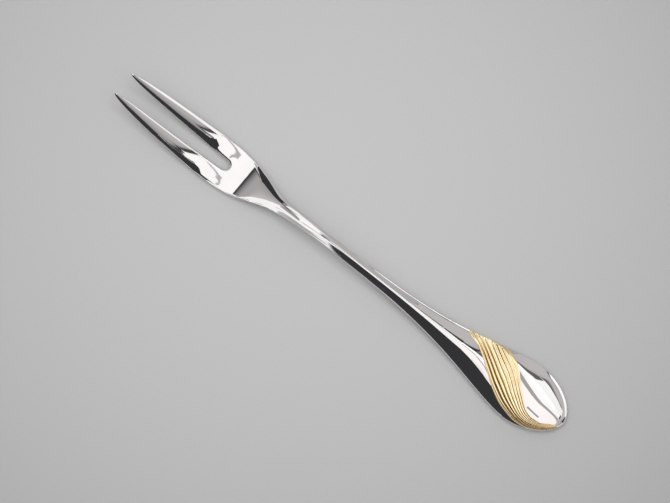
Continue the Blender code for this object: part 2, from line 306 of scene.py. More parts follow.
print("face over the table: %.2f mm at the shoulder, %.2f mm at the bend, %.2f mm at the tips" % tuple(
    spine_height(station * MM) / MM for station in (SHOULDER, BEND, tip)))

# %% [markdown]
# ## The cross-section: rounded edges
# Polishing rounds every edge, the neck's most of all and not alike on its two sides. A Bevel modifier could
# round the edges too, but its width would have to be painted point by point. Here the radius, again in
# millimetres, is a curve along the fork for each side, and the thickness falls off to nothing over it.

# %% Rounded edges
RIM_ROUNDING = 0.5
ROOT_ROUNDING = 0.9
NECK_ROUNDING = 1.8
WEDGE_ROUNDING = 3.1
TINE_ROUNDING = 1.3
ROUND_SHARE = 0.7
WELD = 0.001 * MM
near_rounding = curve_in_mm(
    (112.0, RIM_ROUNDING), (neck, NECK_ROUNDING), (140.0, WEDGE_ROUNDING), (143.8, WEDGE_ROUNDING),
    (145.6, 2.0), (147.3, 0.9), (149.0, RIM_ROUNDING), (154.0, RIM_ROUNDING), (160.0, ROOT_ROUNDING),
    (167.0, ROOT_ROUNDING), (176.0, TINE_ROUNDING),
)
far_rounding = curve_in_mm(
    (112.0, RIM_ROUNDING), (neck, NECK_ROUNDING), (142.0, WEDGE_ROUNDING), (146.0, WEDGE_ROUNDING),
    (149.0, 2.3), (152.0, 1.4), (157.0, ROOT_ROUNDING), (167.0, ROOT_ROUNDING), (176.0, TINE_ROUNDING),
)


def rounded(distance, radius):
    """Share of the full thickness at a distance from an edge with a round of that radius."""
    inside = 1.0 - min(distance / radius, 1.0)
    return math.sqrt(1.0 - inside * inside)


def edge_rounding(station, reach):
    """Radius of the edges on one side, which shrinks with a tine's width towards its tip."""
    full_rounding = near_rounding if reach > 0.0 else far_rounding
    return max(min(full_rounding(station), ROUND_SHARE * tine_half_width(station)), WELD)


def thickness_share(station, reach):
    radius = edge_rounding(station, reach)
    return rounded(edge_distance(station, reach), radius) * rounded(slot_distance(station, reach), radius)


print("edge of the neck: rounded to %.1f mm" % (edge_rounding(NECK_STATION, 1.0) / MM))

# %% [markdown]
# ## The cross-section: the handle's crown
# The handle is crowned: a roof with a rounded ridge stands on a plain border, and a small hollow joins the
# two. That hollow is what draws a thin bright line along the rim. On the near side of the gilded band the
# ridge swings out with the band, on its far side a second ridge runs like the midrib of a petal, and the two
# roofs blend under the gold.

# %% Crown of the handle
NEAR_BORDER = 0.45 * MM
END_BORDER = 1.3 * MM
END_ROUND_POWER = 4
PETAL_CREST = 0.9
PETAL_SPREAD = 4.0 * MM
far_border = curve_in_mm(
    (0.0, 1.0), (10.0, 0.95), (22.0, 0.2), (27.0, 0.2), (40.0, 0.95), (85.0, 0.95), (105.0, 0.2),
    (120.0, 0.0),
)
border_hollow = curve_in_mm((90.0, 0.3), (112.0, 0.01))
near_crest = share_curve((20.0, 0.9), (75.0, 0.4), (100.0, 0.3), (115.0, 0.7), (130.0, 1.2))
far_crest = share_curve((35.0, 0.14), (60.0, 0.16), (100.0, 0.2), (115.0, 0.7), (130.0, 1.2))
near_ridge = curve_in_mm(
    (2.2, 2.5), (7.0, 6.5), (14.8, 8.6), (21.8, 7.6), (29.4, 4.6), (33.1, 3.1), (36.9, 1.4), (42.9, 0.2),
    (60.0, 0.0),
)
far_ridge = curve_in_mm((3.4, 0.3), (10.5, -0.1), (18.1, -2.3), (23.7, -4.6), (27.5, -6.1), (35.0, -8.0))


def soft_ramp(value, softness):
    """The value itself where it is positive, zero where it is negative, with a soft bend between."""
    return (value + math.hypot(value, softness)) / 2


def roof(station, reach, ridge, near_round, far_round, spread=0.0):
    """Share of the crown's height: 1 on the ridge, 0 at the border on either side."""
    if reach > ridge:
        run, away, round_share = outline(station) - NEAR_BORDER - ridge + spread, reach - ridge, near_round
    else:
        run, away, round_share = rim_line(station, far_border(station)) + ridge, ridge - reach, far_round
    if run <= 0.0:
        return 0.0
    across = max(1.0 - soft_ramp(1.0 - away / run, border_hollow(station) / run), 0.0)
    fall = math.hypot(across, round_share) - round_share
    return 1.0 - fall / (math.hypot(1.0, round_share) - round_share)


def crown(station, reach):
    """Height of the handle's crown over its rim."""
    if station <= END_BORDER:
        return 0.0
    share = roof(station, reach, near_ridge(station), near_crest(station), far_crest(station))
    if station < WAVE_START_STATION:
        across = (reach - far_edge(station)) / (near_edge(station) - far_edge(station))
        petal = roof(station, reach, far_ridge(station), PETAL_CREST, PETAL_CREST, PETAL_SPREAD)
        share = mix(petal, share, smooth_step(across))
    ahead = 1.0 - min((station - END_BORDER) / (HANDLE_WIDEST_STATION - END_BORDER), 1.0)
    return crown_height(station) * share * math.sqrt(1.0 - ahead**END_ROUND_POWER)


print("crown: %.2f mm high at the waist" % (crown(WAIST_STATION, near_ridge(WAIST_STATION)) / MM))

# %% [markdown]
# ## The cross-section: the tines' bevel
# Each tine has a bevel along the edge that faces the near side, a little narrower on the near tine, and its
# face is slightly cambered. On the real fork a grinding wheel cuts the bevel; here it is a soft ramp that
# lowers the face within the bevel's width. Face and back then share one thickness, half of it above the
# middle of the plate and half below.

# %% Bevel of the tines
BEVEL_SLOPE = math.tan(math.radians(19.0))
BEVEL_ROUND = 0.3 * MM
LEAST_THICKNESS = 0.3 * MM
CAMBER_WIDTH = 3.2 * MM
BEVEL_START = 164.2
bevel_width = curve_in_mm(
    (BEVEL_START, 0.0), (165.7, 0.6), (167.5, 2.4), (169.0, 2.9), (173.0, 2.4), (180.0, 1.8), (195.0, 1.2),
    (205.0, 0.95), (tip, 0.6),
)
near_bevel_cut = curve_in_mm(
    (BEVEL_START, 0.0), (168.7, 0.55), (170.6, 0.8), (178.0, 0.8), (182.0, 0.7), (187.5, 0.3), (195.0, 0.0)
)
camber_drop = curve_in_mm((BEND, 0.0), (168.0, 0.16), (203.0, 0.16), (tip, 0.04))


def bevel(station, reach):
    """Drop of a tine's face: a slight camber, and a bevel towards the edge that faces the near side."""
    drop = camber_drop(station)
    if drop == 0.0:
        return 0.0
    outer, inner = edge_distance(station, reach), slot_distance(station, reach)
    width, away = bevel_width(station), inner
    if reach > 0.0:
        width, away = width - near_bevel_cut(station), outer
    camber = max(1.0 - outer / CAMBER_WIDTH, 0.0) ** 2 + max(1.0 - inner / CAMBER_WIDTH, 0.0) ** 2
    share = min(width / BEVEL_ROUND, 1.0)
    return drop * camber + share * BEVEL_SLOPE * soft_ramp(width - away, BEVEL_ROUND)


def plate_thickness(station, reach):
    return max(rim_thickness(station) - bevel(station, reach), LEAST_THICKNESS)


def face_height(station, reach):
    half = plate_thickness(station, reach) / 2
    return back_height(station) + half + (half + crown(station, reach)) * thickness_share(station, reach)


def back_surface(station, reach):
    half = plate_thickness(station, reach) / 2
    return back_height(station) + half - half * thickness_share(station, reach)


print("head: %.2f mm thick at the slot" % (plate_thickness(SLOT_STATION, 0.0) / MM))

# %% [markdown]
# ## Rows and columns of the skin
# The skin starts as flat grids, as a smith starts from sheet. A subdivided cage would be quicker to draw,
# but its surface only comes near the curves, and a mirror finish shows the difference. So each grid covers
# one half of the face or the back, and its rows run from the middle line, or from the slot between the
# tines, out to the outline. Rows and columns crowd together where the surface turns quickly, and nowhere
# else.

# %% Rows and columns
END_ROWS = 60
WAVE_ROWS = 90
STEM_ROWS = 140
HEAD_ROWS = 110
SLOT_ROWS = 24
TINE_ROWS = 80
HEAD_CROWDING = 1.5
TINE_CROWDING = 2
CREST_COLUMNS = 8
FACE_COLUMNS = 22
EDGE_COLUMNS = 10
EDGE_SHARE = 0.4
BORDER_SHARE = 0.45
QUARTER_TURN = math.pi / 2


def fork_rows():
    """Rows across one half of the fork, each from the middle line or the slot out to the outline."""
    turns = [QUARTER_TURN * i / END_ROWS for i in range(END_ROWS)]
    straight = [HANDLE_WIDEST_STATION * (1.0 - math.cos(turn)) for turn in turns]
    straight += [mix(HANDLE_WIDEST_STATION, WAVE_START_STATION, i / WAVE_ROWS) for i in range(WAVE_ROWS)]
    straight += [mix(WAVE_START_STATION, NECK_STATION, i / STEM_ROWS) for i in range(STEM_ROWS)]
    rows = [(station, 0.0, station) for station in straight]
    splay = HEAD_WIDTH / 2
    root_splay = 2.0 * SLOT_RADIUS
    for i in range(HEAD_ROWS):
        share = 1.0 - (1.0 - i / HEAD_ROWS) ** HEAD_CROWDING
        outer = mix(NECK_STATION, SLOT_STATION - splay, share)
        rows.append((mix(NECK_STATION, SLOT_STATION, share), 0.0, outer))
    for i in range(SLOT_ROWS):
        turn = QUARTER_TURN * i / SLOT_ROWS
        station = SLOT_CENTRE_STATION - SLOT_RADIUS * math.cos(turn)
        outer = mix(SLOT_STATION - splay, SLOT_CENTRE_STATION - root_splay, i / SLOT_ROWS)
        rows.append((station, SLOT_RADIUS * math.sin(turn), outer))
    taper = LENGTH - SLOT_CENTRE_STATION
    for i in range(TINE_ROWS + 1):
        left = (1.0 - i / TINE_ROWS) ** TINE_CROWDING
        station = LENGTH - taper * left
        outer = LENGTH - (taper + root_splay) * left
        rows.append((station, slot_edge(station), outer))
    return rows


def column_shares(width, radius):
    """Places across a row, from 0 at its inner end to 1 at the outline, closer together at both ends."""
    if width == 0.0:
        return [0.0] * (CREST_COLUMNS + FACE_COLUMNS + EDGE_COLUMNS + 2)
    edge = min(radius / width, EDGE_SHARE)
    border = max(edge * BORDER_SHARE / EDGE_SHARE, min(NEAR_BORDER / width, BORDER_SHARE))
    inner = [edge * (1.0 - math.cos(QUARTER_TURN * i / CREST_COLUMNS)) for i in range(CREST_COLUMNS)]
    face = [mix(edge, 1.0 - border, i / FACE_COLUMNS) for i in range(FACE_COLUMNS + 1)]
    turns = [QUARTER_TURN * i / EDGE_COLUMNS for i in range(EDGE_COLUMNS + 1)]
    return inner + face + [1.0 - edge * (1.0 - math.sin(turn)) for turn in turns]


print("rows along the fork: %d" % len(fork_rows()))

# %% [markdown]
# ## The steel blank
# The real blank is one forging from the tips to the handle's end. A grid of faces is moved point by point
# onto the surface, once for each half of the face and of the back. Face and back meet in one line along the
# rim, so welding the doubles closes the body into a single skin without a seam.

# %% Steel blank
GRID_HALF = 0.5


def fork_point(station, reach, height):
    return (station - LENGTH / 2, reach, height)


def half_sheet(surface, side):
    """Points of one half of the fork's face or back, row by row, lifted onto a surface."""
    sheet = []
    for station, reach, outer_station in fork_rows():
        outer_reach = outline(outer_station)
        width = math.hypot(outer_station - station, outer_reach - reach)
        points = []
        for share in column_shares(width, edge_rounding(outer_station, side)):
            along = mix(station, outer_station, share)
            across = side * mix(reach, outer_reach, share)
            points.append(fork_point(along, across, surface(along, across)))
        sheet.append(points)
    return sheet


def lay_grid(mesh, sheet, layer=None, values=None):
    """Add a grid of faces, move its points onto a sheet of points and note a value for each of them."""
    rows, columns = len(sheet) - 1, len(sheet[0]) - 1
    grid = bmesh.ops.create_grid(mesh, x_segments=rows, y_segments=columns, size=GRID_HALF)
    for vertex in grid["verts"]:
        row, column = round((vertex.co.x + GRID_HALF) * rows), round((vertex.co.y + GRID_HALF) * columns)
        vertex.co = sheet[row][column]
        if layer:
            vertex[layer] = values[row][column]


def make_piece(name, mesh, slot, *nodes):
    """Weld a mesh into one closed skin, face it outwards and let it stand for its CAD nodes."""
    bmesh.ops.remove_doubles(mesh, verts=mesh.verts, dist=WELD)
    bmesh.ops.recalc_face_normals(mesh, faces=mesh.faces)
    data = bpy.data.meshes.new(name)
    mesh.to_mesh(data)
    mesh.free()
    data.shade_smooth()
    piece = bpy.data.objects.new(name, data)
    bpy.context.scene.collection.objects.link(piece)
    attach(piece, "root")
    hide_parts(*nodes)
    return piece


steel_mesh = bmesh.new()
for surface in (face_height, back_surface):
    for side in (1.0, -1.0):
        lay_grid(steel_mesh, half_sheet(surface, side))
steel_fork = make_piece("steel_fork", steel_mesh, "polished_steel", "fork_blank")
print("steel skin: %d faces" % len(steel_fork.data.polygons))

# %% [markdown]
# ## The gilded reeds
# Eight reeds cross the handle's end as one wave: they start over the far rim, sweep across the crown and run
# out beside the tip. On the real fork they are raised in the forging and then gilded. A curve with a bevel
# could make each one, but its round section would stand off from the crowned steel. So each is a small sheet
# again, a half-round section swept along its own line between the wave's two edges, with its foot sunk a
# little into the steel. The reeds stand higher towards the near side. Each point also notes how deep it lies
# in the groove beside its reed, as an amount of painted shade, so that the finish can paint the groove
# darker.

# %% Gold strands
STRAND_COUNT = 8
STRAND_PROUD_FAR = 0.10 * MM
STRAND_PROUD_NEAR = 0.42 * MM
PROUD_POWER = 2.5
# These GROOVE values set how much painted shade the grooves between the reeds get, and where.
GROOVE_LEAST = 0.25
GROOVE_START = 0.45
GROOVE_RUN = 0.3
GROOVE_STATION = 45.0 * MM
GROOVE_FADE = 9.0 * MM
GROOVE_TIP_FADE = 5.0 * MM
STRAND_DEPTH = 0.25 * MM
STRAND_FILL = 1.03
STRAND_TAPER = 0.4 * MM
STRAND_ROWS = 140
STRAND_ARC = 14
RIM_LAP = 0.12 * MM
RIM_HALVINGS = 40
WAVE_NEAR_END = 1.0 * MM
WAVE_FAR_END = 1.8 * MM


def wave_line(share):
    """The line along the wave at a share of its width, counted from its far edge."""

    def line(station):
        return mix(far_edge(station), near_edge(station), share)

    return line


def rim_crossing(line, border):
    """Station at which a line that runs out over the far rim crosses its border."""
    inside, outside = HANDLE_WIDEST_STATION, WAVE_START_STATION
    for _ in range(RIM_HALVINGS):
        middle = (inside + outside) / 2
        if line(middle) > -rim_line(middle, border):
            inside = middle
        else:
            outside = middle
    return inside


def groove_shade(number, across):
    """Painted shade in the groove on one side of a reed: faint on the far side, none at the near edge."""
    groove = (number - 0.5 + math.copysign(0.5, across)) / STRAND_COUNT
    if groove >= 1.0:
        return 0.0
    return mix(GROOVE_LEAST, 1.0, smooth_step((groove - GROOVE_START) / GROOVE_RUN))


def groove_fade(station):
    """The grooves' painted shade is strong along the middle of the wave and fades out towards both of its
    ends.
    """
    return smooth_step((GROOVE_STATION - station) / GROOVE_FADE) * smooth_step(station / GROOVE_TIP_FADE)


def gold_strand(number):
    turns = [math.pi * i / STRAND_ARC for i in range(STRAND_ARC + 1)]
    reed_top = [(math.cos(turn), math.sin(turn) ** 2) for turn in turns]
    section = [(-1.0, -1.0), (1.0, -1.0)] + reed_top + [(-1.0, -1.0)]
    place = (number - 1) / (STRAND_COUNT - 1)
    proud = mix(STRAND_PROUD_FAR, STRAND_PROUD_NEAR, place**PROUD_POWER)
    columns, shades = [], []
    for across, level in section:
        foot = groove_shade(number, across) * (1.0 - max(level, 0.0))
        share = (number - 0.5 + across * STRAND_FILL / 2) / STRAND_COUNT
        line = wave_line(share)
        start, end = rim_crossing(line, RIM_LAP), mix(WAVE_FAR_END, WAVE_NEAR_END, share)
        points, painted_shades = [], []
        for i in range(STRAND_ROWS + 1):
            station = mix(start, end, (1.0 - math.cos(math.pi * i / STRAND_ROWS)) / 2)
            left = min(start - station, station - end)
            taper = math.sqrt(min(max(left, 0.0) / STRAND_TAPER, 1.0))
            lift = level * taper * (proud if level > 0 else STRAND_DEPTH)
            reach = line(station)
            points.append(fork_point(station, reach, face_height(station, reach) + lift))
            painted_shades.append(foot * groove_fade(station))
        columns.append(points)
        shades.append(painted_shades)
    mesh = bmesh.new()
    # The groove layer keeps each point's amount of painted shade for the gold finish.
    lay_grid(mesh, columns, mesh.verts.layers.float.new("groove"), shades)
    return make_piece("gilded_reed_%d" % number, mesh, "gilding", "gold_strand_%d" % number)


gold_strands = [gold_strand(number) for number in range(1, STRAND_COUNT + 1)]
print("gilded reeds: %d, %d faces each" % (len(gold_strands), len(gold_strands[0].data.polygons)))

# %% [markdown]
# ## Writing shader maths as Python
# A shader is a graph of nodes. A small class that wraps a socket lets the graph be written as sums and
# products, and one method makes every other node from its type, its settings and its inputs.

# %% Shader helper
class Shade:
    """A value in a node tree: Python's operators on it add Math nodes."""

    def __init__(self, tree, socket=None):
        self.tree = tree
        self.socket = socket

    def node(self, kind, settings=None, output=0, **inputs):
        """A new node; an input is named by its socket's name, or by i and its number."""
        made = self.tree.nodes.new(kind)
        for name, value in (settings or {}).items():
            setattr(made, name, value)
        for name, value in inputs.items():
            by_number = name[0] == "i" and name[1:].isdigit()
            self.feed(made.inputs[int(name[1:]) if by_number else name], value)
        return Shade(self.tree, made.outputs[output])

    def feed(self, place, value):
        if isinstance(value, Shade):
            self.tree.links.new(value.socket, place)
        else:
            place.default_value = value

    def maths(self, operation, first, second):
        return self.node("ShaderNodeMath", {"operation": operation}, i0=first, i1=second)

    def __add__(self, other):
        return self.maths("ADD", self, other)

    def __radd__(self, other):
        return self.maths("ADD", other, self)

    def __sub__(self, other):
        return self.maths("SUBTRACT", self, other)

    def __rsub__(self, other):
        return self.maths("SUBTRACT", other, self)

    def __mul__(self, other):
        return self.maths("MULTIPLY", self, other)

    def __rmul__(self, other):
        return self.maths("MULTIPLY", other, self)

    def step(self, low, high):
        """0 below low, 1 above high, smooth between."""
        settings = {"interpolation_type": "SMOOTHSTEP"}
        return self.node("ShaderNodeMapRange", settings, i0=self, i1=low, i2=high)

    def blend(self, first, second):
        """A colour between two, this value saying how much of the second."""
        return self.node("ShaderNodeMix", {"data_type": "RGBA"}, output=2, i0=self, i6=first, i7=second)

    def object_place(self):
        return self.node("ShaderNodeTexCoord", output="Object")

    def split(self, vector, axes):
        return [self.node("ShaderNodeSeparateXYZ", output=axis, Vector=vector) for axis in axes]


def new_material(name):
    material = bpy.data.materials.new(name)
    material.use_nodes = True
    shader = material.node_tree.nodes["Principled BSDF"]
    return material, shader, Shade(material.node_tree)


# %% [markdown]
# ## Polished steel
# Mirror-polished stainless steel is nearly colourless and slightly warm. One even roughness would look like
# chrome in a drawing. What makes it look real is small: the buffing wheel leaves very fine lines along the
# fork, and handling leaves faint cloudy patches, so two noise patterns make the roughness a little uneven.

# %% Steel finish
STEEL_COLOUR = (0.74, 0.725, 0.72, 1.0)
STEEL_CLOUDED = (0.70, 0.685, 0.68, 1.0)
STEEL_ROUGHNESS = 0.012
CLOUD_ROUGHNESS = 0.018
BUFFING_ROUGHNESS = 0.012
BUFFING_STRETCH = (60.0, 900.0, 900.0)
BUFFING_SCALE = 6.0
BUFFING_DETAIL = 3.0
CLOUD_SCALE = 90.0
CLOUD_DETAIL = 4.0
CLOUD_TINT = (0.35, 0.75)
CLOUD_HAZE = (0.4, 0.8)
steel, steel_shader, ink = new_material("mirror_polished_steel")
place = ink.object_place()
stretched = ink.node("ShaderNodeMapping", Vector=place, Scale=BUFFING_STRETCH)
buffing = ink.node("ShaderNodeTexNoise", Vector=stretched, Scale=BUFFING_SCALE, Detail=BUFFING_DETAIL)
clouds = ink.node("ShaderNodeTexNoise", Vector=place, Scale=CLOUD_SCALE, Detail=CLOUD_DETAIL)
steel_tone = clouds.step(*CLOUD_TINT).blend(STEEL_COLOUR, STEEL_CLOUDED)
steel_haze = STEEL_ROUGHNESS + clouds.step(*CLOUD_HAZE) * CLOUD_ROUGHNESS + buffing * BUFFING_ROUGHNESS
ink.feed(steel_shader.inputs["Base Color"], steel_tone)
ink.feed(steel_shader.inputs["Roughness"], steel_haze)
steel_shader.inputs["Metallic"].default_value = 1.0
steel_fork.data.materials.append(steel)
print("finish of the blank:", steel.name)

# %% [markdown]
# ## Gilding
# The gold is a thin plating, softer than the steel, so it takes the light in a wider glow. Between two reeds
# it mirrors its neighbour again and again and turns a deep brown. Tracing those narrow grooves alone leaves
# them too pale, so that shade is painted into the colour: the amount that each point carries from the
# modelling darkens it in two steps, first to a warm painted shade, then nearly to black at the bottom.

# %% Gold finish
GOLD_COLOUR = (0.95, 0.805, 0.53, 1.0)
GOLD_DEEP = (0.88, 0.715, 0.43, 1.0)
GOLD_PAINTED_SHADE = (0.60, 0.36, 0.10, 1.0)
GOLD_GROOVE_SHADE = (0.06, 0.03, 0.006, 1.0)
GOLD_ROUGHNESS = 0.06
TONE_ROUGHNESS = 0.05
GROOVE_ROUGHNESS = 0.1
TONE_SCALE = 350.0
TONE_DETAIL = 3.0
TONE_SPREAD = (0.3, 0.7)
SHADE_SPREAD = (0.0, 0.45)
GROOVE_SPREAD = (0.3, 1.0)
gold, gold_shader, ink = new_material("bright_gilding")
tone = ink.node("ShaderNodeTexNoise", Vector=ink.object_place(), Scale=TONE_SCALE, Detail=TONE_DETAIL)
# Painted shade: the groove amount darkens the base colour to a warm brown, then nearly to black.
groove = ink.node("ShaderNodeAttribute", {"attribute_name": "groove"}, output="Fac")
bright = tone.step(*TONE_SPREAD).blend(GOLD_DEEP, GOLD_COLOUR)
shaded = groove.step(*SHADE_SPREAD).blend(bright, GOLD_PAINTED_SHADE)
ink.feed(gold_shader.inputs["Base Color"], groove.step(*GROOVE_SPREAD).blend(shaded, GOLD_GROOVE_SHADE))
gold_haze = GOLD_ROUGHNESS + tone * TONE_ROUGHNESS + groove * GROOVE_ROUGHNESS
ink.feed(gold_shader.inputs["Roughness"], gold_haze)
gold_shader.inputs["Metallic"].default_value = 1.0
for strand in gold_strands:
    strand.data.materials.append(gold)
print("finish of the reeds:", gold.name)

# %% [markdown]
# ## The table
# The fork lies on a pale matt sheet. The light on it is brightest around the fork's neck and falls off
# towards the corners. A lamp with a narrow beam could do that, but the steel would mirror the lamp. So that
# fall-off
# of light is painted: the sheet's colour grows a little darker with the distance from its brightest place.

# %% Table
TABLE_HALF = 4.0
TABLE_COLOUR = (0.659, 0.669, 0.669, 1.0)
TABLE_GRAIN = (0.688, 0.699, 0.699, 1.0)
TABLE_BRIGHTEST = (0.0404, -0.0106, 0.0)
TABLE_LIGHT_FALLOFF = 7.0
TABLE_LIGHT_FALLOFF_LIMIT = 0.28
TABLE_GAP = 0.02 * MM
TABLE_ROUGHNESS = 0.9
TABLE_SPECULAR = 0.1
PAPER_SCALE = 900.0
PAPER_DETAIL = 2.0
UNLIT = (0.0, 0.0, 0.0, 1.0)
floor_mesh = bmesh.new()
bmesh.ops.create_grid(floor_mesh, x_segments=1, y_segments=1, size=TABLE_HALF)
bmesh.ops.translate(floor_mesh, verts=floor_mesh.verts, vec=(0.0, 0.0, cad_box[0].z - TABLE_GAP))
floor_data = bpy.data.meshes.new("table")
floor_mesh.to_mesh(floor_data)
floor_mesh.free()
floor = bpy.data.objects.new("table", floor_data)
bpy.context.scene.collection.objects.link(floor)
floor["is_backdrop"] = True
matt, matt_shader, ink = new_material("pale_table")
place = ink.object_place()
paper = ink.node("ShaderNodeTexNoise", Vector=place, Scale=PAPER_SCALE, Detail=PAPER_DETAIL)
distance = {"operation": "DISTANCE"}
away = ink.node("ShaderNodeVectorMath", distance, output="Value", i0=place, i1=TABLE_BRIGHTEST)
# Painted fall-off of light: the colour darkens towards black with the square of the distance, up to a limit.
fall = ink.maths("MINIMUM", away * away * TABLE_LIGHT_FALLOFF, TABLE_LIGHT_FALLOFF_LIMIT)
sheet_colour = paper.blend(TABLE_COLOUR, TABLE_GRAIN)
ink.feed(matt_shader.inputs["Base Color"], fall.blend(sheet_colour, UNLIT))
matt_shader.inputs["Roughness"].default_value = TABLE_ROUGHNESS
matt_shader.inputs["Specular IOR Level"].default_value = TABLE_SPECULAR
floor.data.materials.append(matt)
print("table: %.0f m wide" % (2.0 * TABLE_HALF))

# %% [markdown]
# ## The room
# Polished metal shows its surroundings, so the studio is part of the look. The room is a dome with grey
# walls and a darker ceiling. On it are painted a bright window, a dark gap and its fringe that the far rim
# reflects, a narrow window and an unlit side that the near flank reflects, and a dark stripe that the bend
# between neck and head picks up. A painted dome is quicker than walls of real geometry and stays the same
# for the whole fork. Where the camera looks past the table, it sees an even pale grey instead.

# %% Room
PALE = (0.52, 0.52, 0.52, 1.0)
WALL = (0.66, 0.645, 0.645, 1.0)
CEILING = (0.50, 0.49, 0.49, 1.0)
DARK = (0.045, 0.045, 0.05, 1.0)
WINDOW = (1.1, 1.1, 1.1, 1.0)
FRINGE = (0.15, 0.145, 0.145, 1.0)
DOME_END = 2.0
WALL_TOP = (0.60, 0.80)
FAR_FRINGE = (-0.42, 0.03, 0.015), (-0.758, -0.575, 0.015)
FAR_GAP = (0.03, 0.22, 0.015), (-0.715, -0.55, 0.015)
FAR_WINDOW = (-0.20, 0.20, 0.02), (-0.60, -0.46, 0.02)
NEAR_WINDOW = (0.125, 0.165, 0.012), (0.55, DOME_END, 0.012)
NEAR_UNLIT = (-DOME_END, 0.118, 0.012), (0.85, DOME_END, 0.012)
BEND_STRIPE = (0.503, 0.70, 0.006), (-0.26, -0.10, 0.015)
FRINGE_SLANT = 0.9
FRINGE_EDGE = (-0.71, -0.68)
STRIPE_SLANT = 0.40
STRIPE_EDGE = (0.425, 0.465)
world = bpy.data.worlds.new("studio")
bpy.context.scene.world = world
world.use_nodes = True
ink = Shade(world.node_tree)
along, across, up = ink.split(ink.node("ShaderNodeTexCoord", output="Generated"), "XYZ")


def between(value, low, high, soft):
    """1 between two values, 0 outside, with soft ends."""
    return value.step(low - soft, low + soft) * (1.0 - value.step(high - soft, high + soft))


def patch(along_range, across_range):
    """How much a patch on the dome covers a direction; a range is low, high and softness."""
    return between(along, *along_range) * between(across, *across_range)


room = up.step(*WALL_TOP).blend(WALL, CEILING)
rising = across - FRINGE_SLANT * along
room = (patch(*FAR_FRINGE) * rising.step(*FRINGE_EDGE)).blend(room, FRINGE)
room = patch(*FAR_GAP).blend(room, DARK)
room = patch(*FAR_WINDOW).blend(room, WINDOW)
room = patch(*NEAR_WINDOW).blend(room, WINDOW)
slanted = along + STRIPE_SLANT * across
room = ((1.0 - slanted.step(*STRIPE_EDGE)) * patch(*BEND_STRIPE)).blend(room, DARK)
room = patch(*NEAR_UNLIT).blend(room, DARK)
seen = ink.node("ShaderNodeLightPath", output="Is Camera Ray")
background = world.node_tree.nodes["Background"]
ink.feed(background.inputs["Color"], seen.blend(room, PALE))
print("room: %d nodes" % len(world.node_tree.nodes))

# %% [markdown]
# ## Soft boxes
# Cutlery is lit with large soft boxes, because a bare bulb would be a burning dot in the steel. Two hang
# over the handle with a gap between them, which draws a grey line along it, and two over the head. As area
# lamps they light the table and show in the steel at once.

# %% Soft boxes
WHITE = (1.0, 1.0, 1.0)
WARM = (1.0, 0.95, 0.94)
HANDLE_BOX_HEIGHT = 0.5
HEAD_BOX_HEIGHT = 0.6
SOFT_BOXES = {
    "handle_box_far": (HANDLE_BOX_HEIGHT, -0.62, 0.055, -0.355, -0.142, 0.82, WHITE),
    "handle_box_near": (HANDLE_BOX_HEIGHT, -0.62, 0.064, -0.092, 0.125, 0.85, WARM),
    "head_box": (HEAD_BOX_HEIGHT, 0.10, 0.405, -0.22, 0.40, 0.82, WHITE),
    "head_box_far": (HEAD_BOX_HEIGHT, 0.10, 0.310, -0.60, -0.22, 0.82, WHITE),
}


def soft_box(name, height, x_low, x_high, y_low, y_high, brightness, colour):
    """An area lamp that looks straight down and shines as brightly as a surface of that brightness."""
    lamp = bpy.data.lights.new(name, "AREA")
    lamp.shape = "RECTANGLE"
    lamp.size = x_high - x_low
    lamp.size_y = y_high - y_low
    lamp.energy = brightness * math.pi * lamp.size * lamp.size_y
    lamp.color = colour
    lamp_object = bpy.data.objects.new(name, lamp)
    lamp_object.location = ((x_low + x_high) / 2, (y_low + y_high) / 2, height)
    lamp_object.visible_camera = False
    bpy.context.scene.collection.objects.link(lamp_object)


for name, sizes in SOFT_BOXES.items():
    soft_box(name, *sizes)
print("soft boxes:", ", ".join(SOFT_BOXES))

# %% [markdown]
# ## Dark flags
# Photographers hang dark flags and small cards beside shiny cutlery: without them polished steel looks
# milky. They only show in reflections, so they throw no shadow and the camera does not see them. A flag that
# hangs low is seen only from the steel beneath it. One darkens the near flank of the handle and one the
# bevels of the tines, with a small one for the bump where a bevel begins. Three make the dark wedge along
# the far edge of the neck, one the dark spot at the handle's tip, and two dim ones shade the crest where the
# reeds begin. Each line below gives a flag's height, its range along x and along y, then slant and lean.

# %% Dark flags
BLACK_GLOW = (0.045, 0.045, 0.048, 1.0)
DIM_GLOW = (0.075, 0.072, 0.072, 1.0)
BLACK_FLAGS = {
    "handle_flag": (0.15, -0.50, 0.040, 0.038, 0.60),
    "tine_flag": (0.05, 0.058, 0.30, 0.0115, 0.20, -0.143),
    "bump_flag": (0.005, 0.0590, 0.0630, -0.00515, -0.00285, 0.87, 0.575),
    "neck_flag": (0.012, 0.0325, 0.0460, -0.0175, -0.0047, 0.0, -0.13),
    "root_flag": (0.008, 0.0431, 0.0478, -0.0139, -0.0064, 0.0, -1.0),
    "thin_flag": (0.012, 0.0228, 0.0330, -0.0026, -0.0015, 0.0, -0.46),
    "tip_flag": (0.004, -0.1046, -0.1034, -0.0028, -0.0003),
}
DIM_FLAGS = {
    "crest_flag": (0.009, -0.0568, -0.0482, -0.0074, -0.0034, 0.0, -0.04),
    "crest_flag_far": (0.03, -0.0450, -0.0260, -0.0491, -0.0270, 0.0, -0.67),
}


